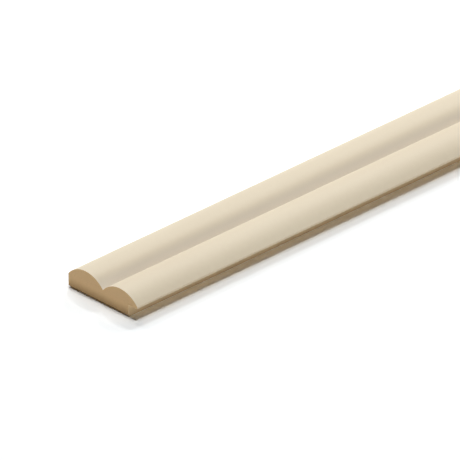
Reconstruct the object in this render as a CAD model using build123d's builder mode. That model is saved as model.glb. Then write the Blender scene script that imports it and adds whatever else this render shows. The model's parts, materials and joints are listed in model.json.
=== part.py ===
# End trim for beaded wall panelling: one straight length of machined MDF moulding.
# The face carries two half-round beads side by side, with a tight valley between them.
# One long edge is square. The other is rebated from the back, which leaves a thin lip
# at the foot of its bead, so that the trim laps over the tongue of the last panel.
# The machining of this section is the skilled part of the job: both beads run out at
# one height, and the lip is less than a millimetre thick along the whole length.
# Frame: X across the width with the lip at +X, Y along the length, Z away from the wall.
# The origin is the middle of the flat back.
from build123d import *
import os

# Driving dimensions, in millimetres
length = 2400.0  # the length that the stock is sold in
bead_count = 2
bead_width = 21.5
bead_rise = 5.1  # crest of a bead above the valley
edge_height = 6.9  # both long edges and the valley, above the back
rebate_width = 5.6
lip_thickness = 0.85
valley_radius = 0.3  # nose of the cutter between the beads
back_arris_radius = 0.4  # sanded corner where the square edge meets the back
end_ease = 1.0  # bevel on the back corner of each sawn end

# Sizes worked out from them
width = bead_count * bead_width
thickness = edge_height + bead_rise
square_edge = -width / 2
lip_edge = width / 2
shoulder = lip_edge - rebate_width
rebate_height = edge_height - lip_thickness

with BuildPart() as end_trim:
    with BuildSketch(Plane.XZ.offset(-length / 2)) as section:
        with BuildLine():
            for bead in range(bead_count):
                foot = square_edge + bead * bead_width
                ThreePointArc(
                    (foot, edge_height),
                    (foot + bead_width / 2, thickness),
                    (foot + bead_width, edge_height),
                )
            Polyline(
                (lip_edge, edge_height),
                (lip_edge, rebate_height),
                (shoulder, rebate_height),
                (shoulder, 0),
                (square_edge, 0),
                (square_edge, edge_height),
            )
        make_face()
        corners = section.vertices().sort_by(Axis.X)
        between_edges = corners.filter_by_position(
            Axis.X, square_edge, shoulder, inclusive=(False, False)
        )
        fillet(between_edges, valley_radius)
        back_corner = section.vertices().group_by(Axis.X)[0].sort_by(Axis.Y)[0]
        fillet(back_corner, back_arris_radius)
    extrude(amount=length)

    # The side view takes the back corner off both sawn ends
    with BuildSketch(Plane.YZ) as side_view:
        with Locations((0, thickness / 2)):
            Rectangle(length, thickness)
        chamfer(side_view.vertices().group_by(Axis.Y)[0], end_ease)
    extrude(amount=width / 2, both=True, mode=Mode.INTERSECT)

end_trim.part.label = "end_trim"

os.makedirs("parts", exist_ok=True)
export_step(end_trim.part, "parts/end_trim.step")
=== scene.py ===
"""Dresses the end trim: one length of beaded board moulding, coated cream on its face."""
import json
import logging
import math
from dataclasses import dataclass, field
from enum import Enum
from typing import Any

import bmesh
import bpy
from mathutils import Matrix, Vector


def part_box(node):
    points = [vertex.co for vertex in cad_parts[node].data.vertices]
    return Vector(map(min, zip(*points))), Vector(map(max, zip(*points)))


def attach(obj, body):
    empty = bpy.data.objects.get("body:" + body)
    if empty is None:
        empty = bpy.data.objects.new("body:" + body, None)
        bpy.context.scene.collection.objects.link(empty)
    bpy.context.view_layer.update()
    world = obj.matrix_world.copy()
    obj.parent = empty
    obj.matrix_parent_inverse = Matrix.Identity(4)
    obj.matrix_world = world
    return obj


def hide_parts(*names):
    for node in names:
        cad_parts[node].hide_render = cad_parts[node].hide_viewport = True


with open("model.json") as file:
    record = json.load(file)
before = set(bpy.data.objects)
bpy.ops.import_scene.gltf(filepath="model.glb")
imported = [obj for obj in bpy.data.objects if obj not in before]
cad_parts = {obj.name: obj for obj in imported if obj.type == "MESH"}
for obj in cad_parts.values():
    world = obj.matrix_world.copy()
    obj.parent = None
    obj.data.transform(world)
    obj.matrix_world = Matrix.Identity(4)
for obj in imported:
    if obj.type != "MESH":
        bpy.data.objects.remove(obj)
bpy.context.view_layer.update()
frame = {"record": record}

BODY = "root"
NODE = "end_trim"
MM = 0.001
MERGE = 0.001 * MM
NODE_SPACING = 180

log = logging.getLogger("end_trim")

Colour = tuple[float, float, float, float]
Point = tuple[float, float, float]
Pair = tuple[float, float]
Socket = bpy.types.NodeSocket

VECTOR, FLOAT, INT = "NodeSocketVector", "NodeSocketFloat", "NodeSocketInt"
GEOMETRY, MATERIAL = "NodeSocketGeometry", "NodeSocketMaterial"
WHITE: Colour = (1.0, 1.0, 1.0, 1.0)
X_ALONG_LENGTH: Point = (0.0, 0.0, -math.pi / 2)


def linear(red: int, green: int, blue: int) -> Colour:
    """Turns a colour as a screen shows it, by the sRGB curve, into a shader's light values.

    Args:
        red: red, from 0 to 255.
        green: green, from 0 to 255.
        blue: blue, from 0 to 255.

    Returns:
        The colour, opaque.
    """
    parts = (part / 255 for part in (red, green, blue))
    return (*(p / 12.92 if p <= 0.04045 else ((p + 0.055) / 1.055) ** 2.4 for p in parts), 1.0)


class Side(Enum):
    """The stretches of the section that get a finish of their own."""

    FACE = "coated face"
    BACK = "milled back, rebate and square edge"
    END = "sawn end"


class Tree:
    """A node tree with short calls for adding nodes and joining them."""

    def __init__(self, tree: bpy.types.NodeTree) -> None:
        """Keeps the tree and starts its layout at the left.

        Args:
            tree: the node tree to build in.
        """
        self.tree = tree
        self.column = 0

    def add(
        self, kind: str, settings: dict[str, Any] | None = None, **inputs: Any
    ) -> bpy.types.Node:
        """Adds one node.

        Args:
            kind: the node's type name.
            settings: properties to set before the inputs, such as an operation.
            inputs: values or sockets, by place as i0 and i1 or by name with _ for a space.

        Returns:
            The new node.
        """
        node = self.tree.nodes.new(kind)
        node.location = (self.column * NODE_SPACING, 0)
        self.column += 1
        for name, value in (settings or {}).items():
            setattr(node, name, value)
        for name, value in inputs.items():
            self.feed(self.find(node, name), value)
        return node

    @staticmethod
    def find(node: bpy.types.Node, name: str) -> Socket:
        """Finds one input of a node.

        Args:
            node: the node that has the input.
            name: i and a number for a place, or its name with _ for a space.

        Returns:
            The input.
        """
        if name[0] == "i" and name[1:].isdigit():
            return node.inputs[int(name[1:])]
        wanted = name.replace("_", " ").lower()
        return next(s for s in node.inputs if s.name.lower() == wanted and s.enabled)

    def feed(self, target: Socket, value: Any) -> None:
        """Joins a socket to an input, or sets the input's own value.

        Args:
            target: the input.
            value: a node, an output or a plain value.
        """
        if isinstance(value, bpy.types.Node):
            value = value.outputs[0]
        if isinstance(value, bpy.types.NodeSocket):
            self.tree.links.new(value, target)
        else:
            target.default_value = value

    def maths(self, operation: str, *values: Any) -> Socket:
        """Adds one Math node.

        Args:
            operation: the sum to do, such as MULTIPLY.
            values: its inputs in order.

        Returns:
            The result.
        """
        places = {f"i{place}": value for place, value in enumerate(values)}
        return self.add("ShaderNodeMath", {"operation": operation}, **places).outputs[0]

    def times(self, first: Any, second: Any) -> Socket:
        """Returns the product of two numbers."""
        return self.maths("MULTIPLY", first, second)

    def plus(self, first: Any, second: Any) -> Socket:
        """Returns the sum of two numbers."""
        return self.maths("ADD", first, second)

    def minus(self, first: Any, second: Any) -> Socket:
        """Returns the difference of two numbers."""
        return self.maths("SUBTRACT", first, second)

    def split(self, vector: Any) -> bpy.types.NodeOutputs:
        """Returns the X, Y and Z of a vector."""
        return self.add("ShaderNodeSeparateXYZ", i0=vector).outputs

    def compare(self, operation: str, first: Any, second: Any) -> Socket:
        """Adds one Compare node for two numbers.

        Args:
            operation: the test, such as GREATER_THAN.
            first: the number on the left.
            second: the number on the right.

        Returns:
            True where the test holds.
        """
        settings = {"data_type": "FLOAT", "operation": operation}
        return self.add("FunctionNodeCompare", settings, i0=first, i1=second).outputs[0]

    def either(self, first: Socket, second: Socket) -> Socket:
        """Returns true where one of two tests holds."""
        node = self.add("FunctionNodeBooleanMath", {"operation": "OR"}, i0=first, i1=second)
        return node.outputs[0]

    def both(self, first: Socket, second: Socket) -> Socket:
        """Returns true where both of two tests hold."""
        node = self.add("FunctionNodeBooleanMath", {"operation": "AND"}, i0=first, i1=second)
        return node.outputs[0]

    def ramp(
        self, value: Any, low: Any, high: Any, start: float = 0.0, end: float = 1.0
    ) -> Socket:
        """Maps a range smoothly to another and holds it at the ends.

        Args:
            value: what is mapped.
            low: the value that gives start.
            high: the value that gives end.
            start: the result at low.
            end: the result at high.

        Returns:
            The mapped value.
        """
        return self.add(
            "ShaderNodeMapRange", {"interpolation_type": "SMOOTHSTEP"},
            i0=value, i1=low, i2=high, i3=start, i4=end,
        ).outputs[0]

    def noise(self, place: Any, scale: Any, detail: float = 3.0, roughness: float = 0.55) -> Socket:
        """Adds a soft random pattern.

        Args:
            place: where the pattern is read.
            scale: features to the metre.
            detail: octaves.
            roughness: how strong the finer octaves are.

        Returns:
            The pattern, about 0.5 on average.
        """
        return self.add(
            "ShaderNodeTexNoise", Vector=place, Scale=scale, Detail=detail, Roughness=roughness
        ).outputs["Fac"]

    def turned(self, place: Any, turn: Point) -> Socket:
        """Returns coordinates turned by angles about X, Y and Z."""
        return self.add("ShaderNodeMapping", Vector=place, Rotation=turn).outputs[0]

    def stretched(self, place: Any, scale: Point) -> Socket:
        """Returns scaled coordinates, which draw out a pattern that is read there."""
        return self.add("ShaderNodeMapping", Vector=place, Scale=scale).outputs[0]

    def blend(self, share: Any, under: Any, over: Any) -> Socket:
        """Mixes two colours.

        Args:
            share: how much of the second colour shows.
            under: the first colour.
            over: the second colour.

        Returns:
            The mixed colour.
        """
        settings = {"data_type": "RGBA", "blend_type": "MIX"}
        return self.add("ShaderNodeMix", settings, i0=share, i6=under, i7=over).outputs[2]


def new_group(name: str, kind: str, inputs: dict[str, str], outputs: dict[str, str]) -> Tree:
    """Starts a node group and names its sockets.

    Args:
        name: the group's name.
        kind: the type of its tree.
        inputs: the socket type of each input.
        outputs: the socket type of each output.

    Returns:
        The group's tree, which holds no nodes yet.
    """
    group = bpy.data.node_groups.new(name, kind)
    for in_out, sockets in (("INPUT", inputs), ("OUTPUT", outputs)):
        for label, socket_type in sockets.items():
            group.interface.new_socket(label, in_out=in_out, socket_type=socket_type)
    return Tree(group)


class BoardFibre:
    """The felted fibres of the board: soft clumps, single fibres and a few dark specks.

    The single fibres lie in three ways, each a tilt and a turn in radians. Levels are where
    something begins to show and where it shows in full.
    """

    lie: tuple[Pair, ...] = ((0.12, 0.3), (-0.2, 1.35), (0.25, 2.3))
    slimness: Point = (0.22, 1.0, 1.0)
    fibre_levels: Pair = (0.56, 0.76)
    cells_per_fibre: float = 0.45
    speck_levels: Pair = (0.26, 0.12)
    speck_cover: Pair = (0.5, 0.62)
    felt_share: float = 0.6
    fibre_share: float = 0.4
    speck_sink: float = 0.5

    def __init__(self) -> None:
        """Builds the node group."""
        made = new_group(
            "board fibre", "ShaderNodeTree",
            {"Place": VECTOR, "Clumps": FLOAT, "Fibres": FLOAT},
            {"Tone": FLOAT, "Speck": FLOAT, "Height": FLOAT},
        )
        given = made.add("NodeGroupInput").outputs
        place, clumps, fibres = given["Place"], given["Clumps"], given["Fibres"]
        felt = made.noise(place, clumps, detail=5.0, roughness=0.65)
        single = 0.0
        for tilt, turn in self.lie:
            along = made.stretched(made.turned(place, (0.0, tilt, turn)), self.slimness)
            single = made.maths("MAXIMUM", single, made.noise(along, fibres, detail=2.0))
        single = made.ramp(single, *self.fibre_levels)
        spacing = made.times(fibres, self.cells_per_fibre)
        cells = made.add("ShaderNodeTexVoronoi", Vector=place, Scale=spacing)
        rare = made.ramp(made.noise(place, clumps, detail=1.0), *self.speck_cover)
        speck = made.times(made.ramp(cells.outputs["Distance"], *self.speck_levels), rare)
        tone = made.plus(made.times(felt, self.felt_share), made.times(single, self.fibre_share))
        height = made.minus(tone, made.times(speck, self.speck_sink))
        made.add("NodeGroupOutput", Tone=tone, Speck=speck, Height=height)
        self.group = made.tree

    def lay(self, tree: Tree, place: Any, clumps: float, fibres: float) -> bpy.types.Node:
        """Places the group in a material.

        Args:
            tree: the material's tree.
            place: the coordinates that it reads.
            clumps: soft clumps to the metre.
            fibres: fibres to the metre.

        Returns:
            The group's node.
        """
        return tree.add(
            "ShaderNodeGroup", {"node_tree": self.group}, Place=place, Clumps=clumps, Fibres=fibres
        )


class ToolMarks:
    """The faint ripple that a turning cutter or a saw leaves across its way.

    The marks drift a little and fade in patches, whose scales are features to the metre.
    """

    drift_scale: float = 60.0
    patch_scale: float = 25.0
    patch_levels: Pair = (0.35, 0.65)
    faintest: float = 0.3

    def __init__(self) -> None:
        """Builds the node group."""
        made = new_group(
            "tool marks", "ShaderNodeTree",
            {"Place": VECTOR, "Pitch": FLOAT, "Wander": FLOAT},
            {"Ripple": FLOAT},
        )
        given = made.add("NodeGroupInput").outputs
        place = given["Place"]
        turns = made.maths("DIVIDE", made.split(place)["X"], given["Pitch"])
        drift = made.times(made.noise(place, self.drift_scale), given["Wander"])
        angle = made.times(made.plus(turns, drift), math.tau)
        patches = made.noise(place, self.patch_scale, detail=2.0)
        depth = made.ramp(patches, *self.patch_levels, self.faintest, 1.0)
        ripple = made.times(made.maths("SINE", angle), depth)
        made.add("NodeGroupOutput", Ripple=made.maths("MULTIPLY_ADD", ripple, 0.5, 0.5))
        self.group = made.tree

    def lay(self, tree: Tree, place: Any, pitch: float, wander: float) -> Socket:
        """Places the group in a material.

        Args:
            tree: the material's tree.
            place: coordinates whose X runs the way of the tool.
            pitch: metres from one mark to the next.
            wander: how unevenly the marks are spaced, in pitches.

        Returns:
            The ripple, from 0 to 1.
        """
        return tree.add(
            "ShaderNodeGroup", {"node_tree": self.group}, Place=place, Pitch=pitch, Wander=wander
        ).outputs["Ripple"]


class ArrisWear:
    """A broken line close to the long edges and the ends, where handling rubs the corners.

    The line's inner side is ragged, by a depth in reaches.
    """

    ragged_scale: float = 700.0
    ragged_depth: float = 2.2
    levels: Pair = (0.95, 0.25)

    def __init__(self) -> None:
        """Builds the node group."""
        made = new_group(
            "arris wear", "ShaderNodeTree",
            {"Place": VECTOR, "Half width": FLOAT, "Half length": FLOAT, "Reach": FLOAT},
            {"Wear": FLOAT},
        )
        given = made.add("NodeGroupInput").outputs
        place = given["Place"]
        parts = made.split(place)
        gaps = [
            made.minus(given[label], made.maths("ABSOLUTE", parts[axis]))
            for label, axis in (("Half width", "X"), ("Half length", "Y"))
        ]
        inward = made.maths("DIVIDE", made.maths("MINIMUM", *gaps), given["Reach"])
        ragged = made.minus(made.noise(place, self.ragged_scale, detail=4.0, roughness=0.7), 0.5)
        depth = made.plus(inward, made.times(ragged, self.ragged_depth))
        made.add("NodeGroupOutput", Wear=made.ramp(depth, *self.levels))
        self.group = made.tree

    def lay(
        self, tree: Tree, place: Any, half_width: float, half_length: float, reach: float
    ) -> Socket:
        """Places the group in a material.

        Args:
            tree: the material's tree.
            place: the coordinates that it reads.
            half_width: half the piece's width.
            half_length: half the piece's length.
            reach: how far from an edge the wear comes.

        Returns:
            The wear, 1 where it is worn.
        """
        return tree.add(
            "ShaderNodeGroup", {"node_tree": self.group},
            Place=place, Half_width=half_width, Half_length=half_length, Reach=reach,
        ).outputs["Wear"]


class SkinAndShade:
    """Darkens board towards its back, for its denser skin and as painted shade near the floor."""

    def __init__(self) -> None:
        """Builds the node group."""
        made = new_group(
            "board skin and painted shade", "ShaderNodeTree", {"Place": VECTOR, "Depth": FLOAT}, {"Dense": FLOAT}
        )
        given = made.add("NodeGroupInput").outputs
        height = made.split(given["Place"])["Z"]
        # Painted shade as well as the denser skin: 1 at the back, falling to 0 at the given depth.
        made.add("NodeGroupOutput", Dense=made.ramp(height, 0.0, given["Depth"], 1.0, 0.0))
        self.group = made.tree

    def lay(self, tree: Tree, place: Any, depth: float) -> Socket:
        """Places the group in a material.

        Args:
            tree: the material's tree.
            place: the coordinates that it reads.
            depth: how far the darkening, for the denser skin and the painted shade, reaches in from
                the back.

        Returns:
            1 at the back, 0 in the core.
        """
        node = tree.add("ShaderNodeGroup", {"node_tree": self.group}, Place=place, Depth=depth)
        return node.outputs["Dense"]


@dataclass(frozen=True)
class Effects:
    """The node groups that the finishes share."""

    fibre: BoardFibre = field(default_factory=BoardFibre)
    marks: ToolMarks = field(default_factory=ToolMarks)
    wear: ArrisWear = field(default_factory=ArrisWear)
    skin: SkinAndShade = field(default_factory=SkinAndShade)


@dataclass(frozen=True)
class TrimSection:
    """The moulding's section: X across the wall and Z away from it, in metres."""

    width: float
    crest: float
    edge: float
    lip: float
    rebate: float
    beads: int = 2
    arc_steps: int = 44
    arris: float = 0.12 * MM
    lip_arris: float = 0.1 * MM
    valley_radius: float = 0.3 * MM
    back_radius: float = 0.4 * MM

    @property
    def bead_width(self) -> float:
        """Returns the width of one bead."""
        return self.width / self.beads

    @property
    def bead_radius(self) -> float:
        """Returns the radius of a bead's arc, from its width and its rise."""
        rise = self.crest - self.edge
        return (rise**2 + (self.bead_width / 2) ** 2) / (2 * rise)

    @property
    def bead_centre(self) -> float:
        """Returns the height of the arcs' centres above the back."""
        return self.crest - self.bead_radius

    @property
    def shoulder(self) -> float:
        """Returns where the rebate's shoulder stands across the width."""
        return self.width / 2 - self.rebate

    def outline(self) -> list[Point]:
        """Goes round the section, over the beads first.

        Returns:
            X, Z and the radius that rounds the corner there, for each point.
        """
        half = self.width / 2
        reach = math.asin(self.bead_width / 2 / self.bead_radius)
        points = [(-half, self.edge, self.arris)]
        for bead in range(self.beads):
            middle = -half + (bead + 0.5) * self.bead_width
            for step in range(1, self.arc_steps):
                turn = reach * (2 * step / self.arc_steps - 1)
                x = middle + self.bead_radius * math.sin(turn)
                points.append((x, self.bead_centre + self.bead_radius * math.cos(turn), 0.0))
            radius = self.lip_arris if bead == self.beads - 1 else self.valley_radius
            points.append((middle + self.bead_width / 2, self.edge, radius))
        return points + [
            (half, self.edge - self.lip, self.lip_arris),
            (self.shoulder, self.edge - self.lip, self.arris),
            (self.shoulder, 0.0, self.arris),
            (-half, 0.0, self.back_radius),
        ]


def shaded(colour: Colour, factor: float) -> Colour:
    """Returns a colour made lighter or darker by a factor."""
    return (*(min(part * factor, 1.0) for part in colour[:3]), 1.0)


def toned(tree: Tree, share: Any, colour: Colour, tones: Pair) -> Socket:
    """Runs a colour from one tone of it to another.

    Args:
        tree: the material's tree.
        share: how far the second tone shows.
        colour: the colour.
        tones: the factors that give the two tones.

    Returns:
        The mixed colour.
    """
    first, second = (shaded(colour, tone) for tone in tones)
    return tree.blend(share, first, second)


def blank_material(name: str) -> tuple[bpy.types.Material, Tree, Socket, bpy.types.Node]:
    """Starts a material.

    Args:
        name: the material's name.

    Returns:
        The material, its tree, the piece's own coordinates and the surface shader.
    """
    material = bpy.data.materials.new(name)
    material.use_nodes = True
    tree = Tree(material.node_tree)
    place = tree.add("ShaderNodeTexCoord").outputs["Object"]
    return material, tree, place, material.node_tree.nodes["Principled BSDF"]


@dataclass(frozen=True)
class Relief:
    """How deep a finish's finest heights are, and how strongly they show."""

    strength: float
    depth: float

    def press(self, tree: Tree, shader: bpy.types.Node, height: Any) -> None:
        """Tilts a shader's surface by the heights.

        Args:
            tree: the material's tree.
            shader: the surface shader.
            height: the heights, from 0 to about 1.
        """
        bump = tree.add(
            "ShaderNodeBump", Strength=self.strength, Distance=self.depth, Height=height
        )
        tree.feed(shader.inputs["Normal"], bump)


@dataclass(frozen=True)
class CreamCoating:
    """The satin cream coating on the beads, thin at the lip's edge, with painted light in the
    valley.

    In all the finishes, scales, clumps and fibres are features to the metre, a share is how
    strongly something shows, and a shade or tone is a factor on a colour. The reach of the
    valley's painted light, a paler and cooler tone, is how far from the valley's line it shows,
    in full and at all. Thinning is how far from the lip's edge the coating starts to thin out,
    and where it is thinnest.
    """

    half_width: float
    half_length: float
    colour: Colour = linear(225, 212, 187)
    tint: Colour = linear(222, 208, 183)
    # Painted light for the valley between the beads.
    thick: Colour = linear(227, 216, 199)
    under: Colour = linear(217, 190, 150)
    under_tones: Pair = (0.88, 1.0)
    tint_levels: Pair = (0.35, 0.65)
    drift_draw: Point = (1.0, 0.15, 1.0)
    drift_scale: float = 55.0
    drift_share: float = 0.7
    cloud_scale: float = 420.0
    cloud_share: float = 0.3
    clumps: float = 900.0
    fibres: float = 2600.0
    valley_light_reach: Pair = (0.5 * MM, 5.5 * MM)
    thinning: Pair = (0.16 * MM, 0.03 * MM)
    thinnest: float = 0.4
    wear_reach: float = 0.22 * MM
    wear_share: float = 0.35
    roughness: Pair = (0.49, 0.61)
    bare_roughness: float = 0.8
    gloss: float = 0.25
    peel_scale: float = 750.0
    cutter_pitch: float = 1.6 * MM
    cutter_wander: float = 0.3
    peel_height: float = 0.6
    ripple_height: float = 0.12
    fibre_height: float = 0.2
    relief: Relief = Relief(0.35, 0.02 * MM)

    def material(self, effects: Effects) -> bpy.types.Material:
        """Builds the coating's material.

        Args:
            effects: the shared node groups.

        Returns:
            The material.
        """
        material, tree, place, shader = blank_material(Side.FACE.value)
        drift = tree.noise(tree.stretched(place, self.drift_draw), self.drift_scale, detail=2.0)
        cloud = tree.noise(place, self.cloud_scale)
        shade = tree.plus(tree.times(drift, self.drift_share), tree.times(cloud, self.cloud_share))
        coat = tree.blend(tree.ramp(shade, *self.tint_levels), self.tint, self.colour)
        across = tree.split(place)["X"]
        # Painted light: a paler, cooler tone in the valley between the beads, for the light that
        # falls there.
        valley_lit = tree.ramp(tree.maths("ABSOLUTE", across), *self.valley_light_reach, 1.0, 0.0)
        coat = tree.blend(valley_lit, coat, self.thick)

        fibre = effects.fibre.lay(tree, place, self.clumps, self.fibres).outputs
        bare = toned(tree, fibre["Tone"], self.under, self.under_tones)
        inner, outer = (self.half_width - reach for reach in self.thinning)
        thin = tree.ramp(across, inner, outer, 0.0, self.thinnest)
        worn = effects.wear.lay(tree, place, self.half_width, self.half_length, self.wear_reach)
        show = tree.maths("MAXIMUM", thin, tree.times(worn, self.wear_share))
        tree.feed(shader.inputs["Base Color"], tree.blend(show, coat, bare))

        smoothest, roughest = self.roughness
        rough = tree.maths("MULTIPLY_ADD", cloud, roughest - smoothest, smoothest)
        rough = tree.maths("MAXIMUM", rough, tree.times(show, self.bare_roughness))
        tree.feed(shader.inputs["Roughness"], rough)
        shader.inputs["Specular IOR Level"].default_value = self.gloss

        peel = tree.noise(place, self.peel_scale, detail=2.0, roughness=0.4)
        feed = tree.turned(place, X_ALONG_LENGTH)
        ripple = effects.marks.lay(tree, feed, self.cutter_pitch, self.cutter_wander)
        height = tree.plus(
            tree.times(peel, self.peel_height), tree.times(ripple, self.ripple_height)
        )
        height = tree.plus(height, tree.times(fibre["Height"], self.fibre_height))
        self.relief.press(tree, shader, height)
        return material


@dataclass(frozen=True)
class MilledBoard:
    """Bare board as the cutters leave it, on the back, the rebate and the square edge."""

    half_width: float
    half_length: float
    colour: Colour = linear(221, 194, 153)
    tones: Pair = (0.93, 1.05)
    tone_levels: Pair = (0.3, 0.7)
    patch_scale: float = 70.0
    patch_share: float = 0.5
    skin: float = 5.0 * MM
    skin_and_shade_share: float = 0.3
    skin_and_shade_tone: float = 0.62
    clumps: float = 800.0
    fibres: float = 2400.0
    speck_share: float = 0.5
    speck_shade: float = 0.6
    wear_reach: float = 0.3 * MM
    wear_share: float = 0.3
    wear_shade: float = 1.12
    roughness: Pair = (0.71, 0.85)
    gloss: float = 0.1
    cutter_pitch: float = 1.4 * MM
    cutter_wander: float = 0.25
    ripple_height: float = 0.35
    fibre_height: float = 0.65
    relief: Relief = Relief(0.5, 0.05 * MM)

    def material(self, effects: Effects) -> bpy.types.Material:
        """Builds the milled board's material.

        Args:
            effects: the shared node groups.

        Returns:
            The material.
        """
        material, tree, place, shader = blank_material(Side.BACK.value)
        fibre = effects.fibre.lay(tree, place, self.clumps, self.fibres).outputs
        patches = tree.noise(place, self.patch_scale)
        fine = tree.times(fibre["Tone"], 1.0 - self.patch_share)
        tone = tree.maths("MULTIPLY_ADD", patches, self.patch_share, fine)
        base = toned(tree, tree.ramp(tone, *self.tone_levels), self.colour, self.tones)
        # Darker towards the back: the board's denser skin, and painted shade low on the rebate's
        # shoulder.
        dense = tree.times(effects.skin.lay(tree, place, self.skin), self.skin_and_shade_share)
        base = tree.blend(dense, base, shaded(self.colour, self.skin_and_shade_tone))
        specks = tree.times(fibre["Speck"], self.speck_share)
        base = tree.blend(specks, base, shaded(self.colour, self.speck_shade))
        worn = effects.wear.lay(tree, place, self.half_width, self.half_length, self.wear_reach)
        worn = tree.times(worn, self.wear_share)
        base = tree.blend(worn, base, shaded(self.colour, self.wear_shade))
        tree.feed(shader.inputs["Base Color"], base)

        smoothest, roughest = self.roughness
        rough = tree.maths("MULTIPLY_ADD", tone, roughest - smoothest, smoothest)
        tree.feed(shader.inputs["Roughness"], rough)
        shader.inputs["Specular IOR Level"].default_value = self.gloss

        feed = tree.turned(place, X_ALONG_LENGTH)
        ripple = effects.marks.lay(tree, feed, self.cutter_pitch, self.cutter_wander)
        raised = tree.times(fibre["Height"], self.fibre_height)
        height = tree.maths("MULTIPLY_ADD", ripple, self.ripple_height, raised)
        self.relief.press(tree, shader, height)
        return material


@dataclass(frozen=True)
class SawnEnd:
    """The sawn ends: open fibre, darker to the back with denser skin and painted shade."""

    colour: Colour = linear(221, 186, 139)
    tones: Pair = (0.95, 1.05)
    dense: Colour = linear(172, 139, 98)
    dense_and_shaded_tones: Pair = (0.93, 1.07)
    # Painted shade for the eased foot of each end.
    painted_foot_shade: Colour = linear(142, 109, 63)
    skin: float = 6.0 * MM
    foot_shade_rise: Pair = (0.7 * MM, 1.3 * MM)
    clumps: float = 700.0
    fibres: float = 1900.0
    speck_share: float = 0.35
    dark_shade: float = 0.6
    saw_tilt: Point = (0.0, 0.18, 0.0)
    saw_pitch: float = 0.9 * MM
    saw_wander: float = 0.5
    score_share: float = 0.06
    roughness: float = 0.88
    skin_roughness: float = 0.8
    gloss: float = 0.1
    score_height: float = 0.3
    fibre_height: float = 0.7
    relief: Relief = Relief(0.6, 0.08 * MM)

    def material(self, effects: Effects) -> bpy.types.Material:
        """Builds the sawn end's material.

        Args:
            effects: the shared node groups.

        Returns:
            The material.
        """
        material, tree, place, shader = blank_material(Side.END.value)
        fibre = effects.fibre.lay(tree, place, self.clumps, self.fibres).outputs
        near_back = effects.skin.lay(tree, place, self.skin)
        core = toned(tree, fibre["Tone"], self.colour, self.tones)
        dense = toned(tree, fibre["Tone"], self.dense, self.dense_and_shaded_tones)
        # Darker towards the back: the board's denser skin, and painted shade near the floor.
        base = tree.blend(near_back, core, dense)
        # Painted shade: the lowest millimetre of the end, over the eased foot, is blended to a dark
        # colour for the shade there.
        corner = tree.ramp(tree.split(place)["Z"], *self.foot_shade_rise, 1.0, 0.0)
        base = tree.blend(corner, base, self.painted_foot_shade)
        dark = shaded(self.colour, self.dark_shade)
        base = tree.blend(tree.times(fibre["Speck"], self.speck_share), base, dark)
        cut = tree.turned(place, self.saw_tilt)
        scores = effects.marks.lay(tree, cut, self.saw_pitch, self.saw_wander)
        base = tree.blend(tree.times(scores, self.score_share), base, dark)
        tree.feed(shader.inputs["Base Color"], base)

        change = self.skin_roughness - self.roughness
        rough = tree.maths("MULTIPLY_ADD", near_back, change, self.roughness)
        tree.feed(shader.inputs["Roughness"], rough)
        shader.inputs["Specular IOR Level"].default_value = self.gloss

        raised = tree.times(fibre["Height"], self.fibre_height)
        height = tree.maths("MULTIPLY_ADD", scores, self.score_height, raised)
        self.relief.press(tree, shader, height)
        return material


def put_in_scene(name: str, data: bpy.types.ID) -> bpy.types.Object:
    """Puts something in the scene.

    Args:
        name: the object's name.
        data: the mesh, the lamp or the camera that it carries.

    Returns:
        The new object.
    """
    holder = bpy.data.objects.new(name, data)
    bpy.context.scene.collection.objects.link(holder)
    return holder


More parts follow.
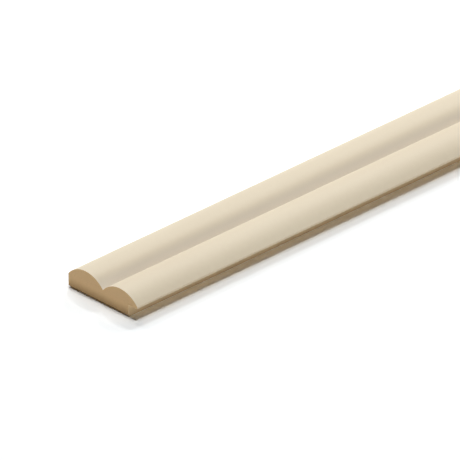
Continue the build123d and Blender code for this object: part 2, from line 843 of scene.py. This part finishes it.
@dataclass(frozen=True)
class EndTrim:
    """One straight length of the moulding, swept from its section and sawn at both ends.

    A face is coated where its normal rises by more than face_lean. It belongs to the lip or
    to an end where its normal points that way by more than square_on.
    """

    section: TrimSection
    length: float
    end_ease: float = 1.0 * MM
    rings: int = 49
    corner_steps: int = 3
    crease: float = math.radians(24)
    face_lean: float = 0.3
    square_on: float = 0.5

    @classmethod
    def from_frame(cls) -> "EndTrim":
        """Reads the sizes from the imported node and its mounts.

        Returns:
            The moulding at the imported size.
        """
        low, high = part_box(NODE)
        mounts = {mount["name"]: mount["pos_m"] for mount in frame["record"]["mounts"]}
        edge = 2 * mounts["square_edge"][2]
        section = TrimSection(
            width=high.x - low.x,
            crest=high.z - low.z,
            edge=edge,
            lip=edge - mounts["lip_underside"][2],
            rebate=high.x - mounts["panel_shoulder"][0],
        )
        return cls(section, high.y - low.y)

    def outline(self) -> bpy.types.Object:
        """Draws the section as a closed loop of edges, with the corners' radii as an attribute.

        Returns:
            The object that the sweep is put on.
        """
        points = self.section.outline()
        count = len(points)
        loop = [(place, (place + 1) % count) for place in range(count)]
        mesh = bpy.data.meshes.new("section")
        mesh.from_pydata([(x, 0.0, z) for x, z, _ in points], loop, [])
        radii = mesh.attributes.new("corner", "FLOAT", "POINT")
        radii.data.foreach_set("value", [radius for _, _, radius in points])
        return put_in_scene("section", mesh)

    def sweep(self) -> bpy.types.NodeTree:
        """Builds the tree that rounds the corners, sweeps the section and saws the ends.

        Returns:
            The tree.
        """
        made = new_group(
            "moulding sweep", "GeometryNodeTree",
            {
                "Section": GEOMETRY, "Length": FLOAT, "Rings": INT, "Corner steps": INT,
                "End ease": FLOAT, "Crease": FLOAT, "Lip edge": FLOAT,
                **{side.value: MATERIAL for side in Side},
            },
            {"Moulding": GEOMETRY},
        )
        given = made.add("NodeGroupInput").outputs
        corner = made.add(
            "GeometryNodeInputNamedAttribute", {"data_type": "FLOAT"}, Name="corner"
        )
        loop = made.add("GeometryNodeMeshToCurve", Mesh=given["Section"])
        rounded = made.add(
            "GeometryNodeFilletCurve", {"mode": "POLY"},
            Curve=loop, Count=given["Corner steps"], Radius=corner, Limit_Radius=True,
        )
        flat = (math.pi / 2, 0.0, 0.0)
        laid = made.add("GeometryNodeTransform", Geometry=rounded, Rotation=flat)
        half = made.times(given["Length"], 0.5)
        near = made.add("ShaderNodeCombineXYZ", Y=made.times(half, -1.0))
        far = made.add("ShaderNodeCombineXYZ", Y=half)
        line = made.add("GeometryNodeCurvePrimitiveLine", {"mode": "POINTS"}, Start=near, End=far)
        path = made.add(
            "GeometryNodeResampleCurve", {"mode": "COUNT"}, Curve=line, Count=given["Rings"]
        )
        path = self.next_to_the_ends(made, given, path, half)
        upright = made.add("GeometryNodeSetCurveNormal", {"mode": "Z_UP"}, Curve=path)
        swept = made.add(
            "GeometryNodeCurveToMesh", Curve=upright, Profile_Curve=laid, Fill_Caps=True
        )
        eased = self.ease(made, given, swept, half)
        merged = made.add("GeometryNodeMergeByDistance", Geometry=eased, Distance=MERGE)
        smooth = made.add(
            "GeometryNodeSetShadeSmooth", {"domain": "FACE"}, Geometry=merged, Shade_Smooth=True
        )
        angle = made.add("GeometryNodeInputMeshEdgeAngle").outputs["Unsigned Angle"]
        sharp = made.compare("GREATER_THAN", angle, given["Crease"])
        creased = made.add(
            "GeometryNodeSetShadeSmooth", {"domain": "EDGE"},
            Geometry=smooth, Selection=sharp, Shade_Smooth=False,
        )
        bare = made.add("GeometryNodeRealizeInstances", Geometry=creased)
        made.add("NodeGroupOutput", Moulding=self.finish_sides(made, given, bare))
        return made.tree

    @staticmethod
    def next_to_the_ends(made: Tree, given: Any, path: Any, half: Socket) -> bpy.types.Node:
        """Moves the rings beside both ends to where the bevels of the ends begin.

        Args:
            made: the sweep's tree.
            given: the tree's inputs.
            path: the line that the section follows.
            half: half the length.

        Returns:
            The line with its second and last but one points moved.
        """
        index = made.add("GeometryNodeInputIndex")
        place = made.minus(half, given["End ease"])
        second_last = made.minus(given["Rings"], 2.0)
        for ring, y in ((1.0, made.times(place, -1.0)), (second_last, place)):
            here = made.compare("EQUAL", index, ring)
            spot = made.add("ShaderNodeCombineXYZ", Y=y)
            path = made.add("GeometryNodeSetPosition", Geometry=path, Selection=here, Position=spot)
        return path

    @staticmethod
    def ease(made: Tree, given: Any, swept: Any, half: Socket) -> bpy.types.Node:
        """Lifts the back corner of both sawn ends, which leaves the bevel there.

        Args:
            made: the sweep's tree.
            given: the tree's inputs.
            swept: the swept mesh.
            half: half the length.

        Returns:
            The mesh with eased ends.
        """
        parts = made.split(made.add("GeometryNodeInputPosition"))
        far_out = made.maths("ABSOLUTE", parts["Y"])
        at_end = made.compare("GREATER_THAN", far_out, made.minus(half, MERGE))
        below = made.compare("LESS_THAN", parts["Z"], given["End ease"])
        lifted = made.add("ShaderNodeCombineXYZ", X=parts["X"], Y=parts["Y"], Z=given["End ease"])
        corner = made.both(at_end, below)
        return made.add(
            "GeometryNodeSetPosition", Geometry=swept, Selection=corner, Position=lifted
        )

    def finish_sides(self, made: Tree, given: Any, bare: Any) -> bpy.types.Node:
        """Gives the face, the back and the ends their finishes.

        Args:
            made: the sweep's tree.
            given: the tree's inputs.
            bare: the mesh.

        Returns:
            The mesh with its materials.
        """
        normal = made.split(made.add("GeometryNodeInputNormal"))
        across = made.split(made.add("GeometryNodeInputPosition"))["X"]
        upward = made.compare("GREATER_THAN", normal["Z"], self.face_lean)
        outward = made.compare("GREATER_THAN", normal["X"], self.square_on)
        on_lip = made.both(outward, made.compare("GREATER_THAN", across, given["Lip edge"]))
        endways = made.compare("GREATER_THAN", made.maths("ABSOLUTE", normal["Y"]), self.square_on)
        chosen = (
            (Side.BACK, True),
            (Side.FACE, made.either(upward, on_lip)),
            (Side.END, endways),
        )
        for side, there in chosen:
            finish = given[side.value]
            bare = made.add(
                "GeometryNodeSetMaterial", Geometry=bare, Selection=there, Material=finish
            )
        return bare

    def build(self, finishes: dict[Side, bpy.types.Material]) -> bpy.types.Object:
        """Makes the moulding and puts it in the frame.

        Args:
            finishes: the material of each side.

        Returns:
            The finished piece.
        """
        shape = self.outline()
        modifier = shape.modifiers.new("sweep", "NODES")
        modifier.node_group = self.sweep()
        values = {
            "Length": self.length,
            "Rings": self.rings,
            "Corner steps": self.corner_steps,
            "End ease": self.end_ease,
            "Crease": self.crease,
            "Lip edge": self.section.width / 2 - self.section.lip_arris,
            **{side.value: material for side, material in finishes.items()},
        }
        for item in modifier.node_group.interface.items_tree:
            if item.item_type == "SOCKET" and item.in_out == "INPUT" and item.name in values:
                modifier[item.identifier] = values[item.name]
        evaluated = shape.evaluated_get(bpy.context.evaluated_depsgraph_get())
        mesh = bpy.data.meshes.new_from_object(evaluated)
        shape.modifiers.remove(modifier)
        bpy.data.objects.remove(shape)
        self.turn_outward(mesh)
        mesh.name = "beaded_end_trim"
        piece = put_in_scene("beaded_end_trim", mesh)
        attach(piece, BODY)
        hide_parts(NODE)
        return piece

    @staticmethod
    def turn_outward(mesh: bpy.types.Mesh) -> None:
        """Turns every face of a mesh outward.

        Args:
            mesh: the closed mesh.
        """
        work = bmesh.new()
        work.from_mesh(mesh)
        bmesh.ops.recalc_face_normals(work, faces=work.faces)
        work.to_mesh(mesh)
        work.free()


@dataclass(frozen=True)
class Lamp:
    """One studio lamp, which gives the floor at the near end a share of a full white.

    Azimuth is from +X towards +Y, in degrees like the elevation and the spread. A lamp
    without a distance is far off.
    """

    name: str
    azimuth: float
    elevation: float
    share: float
    distance: float = 0.0
    spread: float = 5.0

    def light(self, lit: Vector) -> None:
        """Hangs the lamp.

        Args:
            lit: the point on the floor that it is turned to.
        """
        turn, rise = math.radians(self.azimuth), math.radians(self.elevation)
        level = math.cos(rise)
        towards = Vector((level * math.cos(turn), level * math.sin(turn), math.sin(rise)))
        lamp = bpy.data.lights.new(self.name, "AREA" if self.distance else "SUN")
        lamp.energy = self.share * math.pi / math.sin(rise)
        if self.distance:
            lamp.shape = "DISK"
            lamp.size = 2 * self.distance * math.tan(math.radians(self.spread) / 2)
            lamp.energy *= math.pi * self.distance**2
        else:
            lamp.angle = math.radians(self.spread)
        holder = put_in_scene(self.name, lamp)
        holder.location = lit + towards * self.distance
        holder.rotation_euler = towards.to_track_quat("Z", "Y").to_euler()


WINDOW_DISTANCE = 2.5
LAMPS = (
    Lamp("overhead key", 30, 76, 0.209),
    Lamp("right overhead", 0, 84, 0.170),
    Lamp("left overhead", 180, 84, 0.128),
    Lamp("high window", 150, 55, 0.0526, WINDOW_DISTANCE),
    Lamp("window", 130, 46, 0.1121, WINDOW_DISTANCE),
    Lamp("left window", 170, 37, 0.0673, WINDOW_DISTANCE),
    Lamp("middle window", 150, 37, 0.0536, WINDOW_DISTANCE),
    Lamp("back window", 110, 37, 0.0683, WINDOW_DISTANCE),
    Lamp("low window", 120, 28, 0.0634, WINDOW_DISTANCE),
    Lamp("right fill", 0, 4, 0.0105),
    Lamp("front fill", 300, 4, 0.011),
    Lamp("front left fill", 225, 4, 0.006),
)


@dataclass(frozen=True)
class Studio:
    """The floor, the lamps and the camera, in metres and degrees, with the lens in millimetres.

    The picture is view_width across, and its middle is to the right of the piece's near
    corner and above it. The floor has one colour for the light that it gives back and two
    for the camera, beside the piece and far from it. Lightened is how far from the piece
    the change from one to the other begins and ends.
    """

    azimuth: float = 45.79
    elevation: float = 28.84
    view_width: float = 0.1994
    aim_right: float = 0.07
    aim_up: float = 0.02466
    lens: float = 1500.0
    sensor: float = 36.0
    sky: Colour = (0.016, 0.02, 0.022, 1.0)
    floor_size: float = 20.0
    floor_bounce: Colour = (0.88, 0.9, 0.91, 1.0)
    floor_seen: Colour = (1.125, 1.15, 1.16, 1.0)
    floor_far: Colour = (2.2, 2.2, 2.2, 1.0)
    lightened: Pair = (0.12, 0.8)
    closest: float = 0.1

    def build(self, corner: Vector) -> None:
        """Sets up the studio.

        Args:
            corner: the near corner of the piece on the floor, which the camera is set out from.
        """
        self.hang_lamps(corner)
        self.lay_floor(abs(corner.y))
        self.set_world()
        self.place_camera(corner)
        bpy.context.scene.view_settings.view_transform = "Standard"

    @staticmethod
    def hang_lamps(lit: Vector) -> None:
        """Hangs the lamps round a point on the floor."""
        for lamp in LAMPS:
            lamp.light(lit)

    @staticmethod
    def seen_directly(tree: Tree) -> Socket:
        """Finds the rays that show a backdrop as it is: the camera's, mirrored and clear ones.

        Args:
            tree: the backdrop's tree.

        Returns:
            1 for such a ray.
        """
        rays = tree.add("ShaderNodeLightPath").outputs
        mirrored = tree.maths("MAXIMUM", rays["Is Glossy Ray"], rays["Is Transmission Ray"])
        return tree.maths("MAXIMUM", rays["Is Camera Ray"], mirrored)

    def lay_floor(self, half_length: float) -> None:
        """Lays the white floor, lightened away from the piece where the lamps fall off.

        Args:
            half_length: half the piece's length.
        """
        half = self.floor_size / 2
        corners = [(-half, -half, 0), (half, -half, 0), (half, half, 0), (-half, half, 0)]
        mesh = bpy.data.meshes.new("studio_floor")
        mesh.from_pydata(corners, [], [(0, 1, 2, 3)])
        material = bpy.data.materials.new("white floor")
        material.use_nodes = True
        material.node_tree.nodes.clear()
        tree = Tree(material.node_tree)
        place = tree.split(tree.add("ShaderNodeTexCoord").outputs["Object"])
        past_end = tree.minus(tree.maths("ABSOLUTE", place["Y"]), half_length)
        away = tree.maths("MAXIMUM", tree.maths("ABSOLUTE", place["X"]), past_end)
        seen = tree.blend(tree.ramp(away, *self.lightened), self.floor_seen, self.floor_far)
        white = tree.blend(self.seen_directly(tree), self.floor_bounce, seen)
        surface = tree.add("ShaderNodeBsdfDiffuse", Color=white)
        tree.add("ShaderNodeOutputMaterial", Surface=surface)
        mesh.materials.append(material)
        floor = put_in_scene("studio_floor", mesh)

    def set_world(self) -> None:
        """Sets the even light from all round, and the white behind everything."""
        world = bpy.data.worlds.new("studio")
        bpy.context.scene.world = world
        world.use_nodes = True
        world.node_tree.nodes.clear()
        tree = Tree(world.node_tree)
        colour = tree.blend(self.seen_directly(tree), self.sky, WHITE)
        light = tree.add("ShaderNodeBackground", Color=colour, Strength=1.0)
        tree.add("ShaderNodeOutputWorld", Surface=light)

    def place_camera(self, corner: Vector) -> None:
        """Places the camera far off with a long lens, so that parallel edges stay parallel.

        Args:
            corner: the point that the aim is set out from.
        """
        turn, rise = math.radians(self.azimuth), math.radians(self.elevation)
        level = math.cos(rise)
        back = Vector((level * math.sin(turn), -level * math.cos(turn), math.sin(rise)))
        right = Vector((math.cos(turn), math.sin(turn), 0.0))
        up = back.cross(right)
        camera = bpy.data.cameras.new("camera")
        camera.lens = self.lens
        camera.sensor_width = self.sensor
        distance = self.view_width * self.lens / self.sensor
        camera.clip_start, camera.clip_end = self.closest, 4 * distance
        holder = put_in_scene("camera", camera)
        aim = corner + right * self.aim_right + up * self.aim_up
        turned = Matrix((right, up, back)).transposed().to_4x4()
        holder.matrix_world = Matrix.Translation(aim + back * distance) @ turned
        bpy.context.scene.camera = holder


def main() -> None:
    """Builds the moulding and its studio, and reports the piece."""
    logging.basicConfig(level=logging.INFO, format="%(message)s")
    effects = Effects()
    trim = EndTrim.from_frame()
    half_width, half_length = trim.section.width / 2, trim.length / 2
    finishes = {
        Side.FACE: CreamCoating(half_width, half_length).material(effects),
        Side.BACK: MilledBoard(half_width, half_length).material(effects),
        Side.END: SawnEnd().material(effects),
    }
    piece = trim.build(finishes)
    faces = len(piece.data.polygons)
    log.info("%s: %d faces, %.1f mm wide", piece.name, faces, trim.section.width / MM)
    low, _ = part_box(NODE)
    Studio().build(low)


if __name__ == "__main__":
    main()
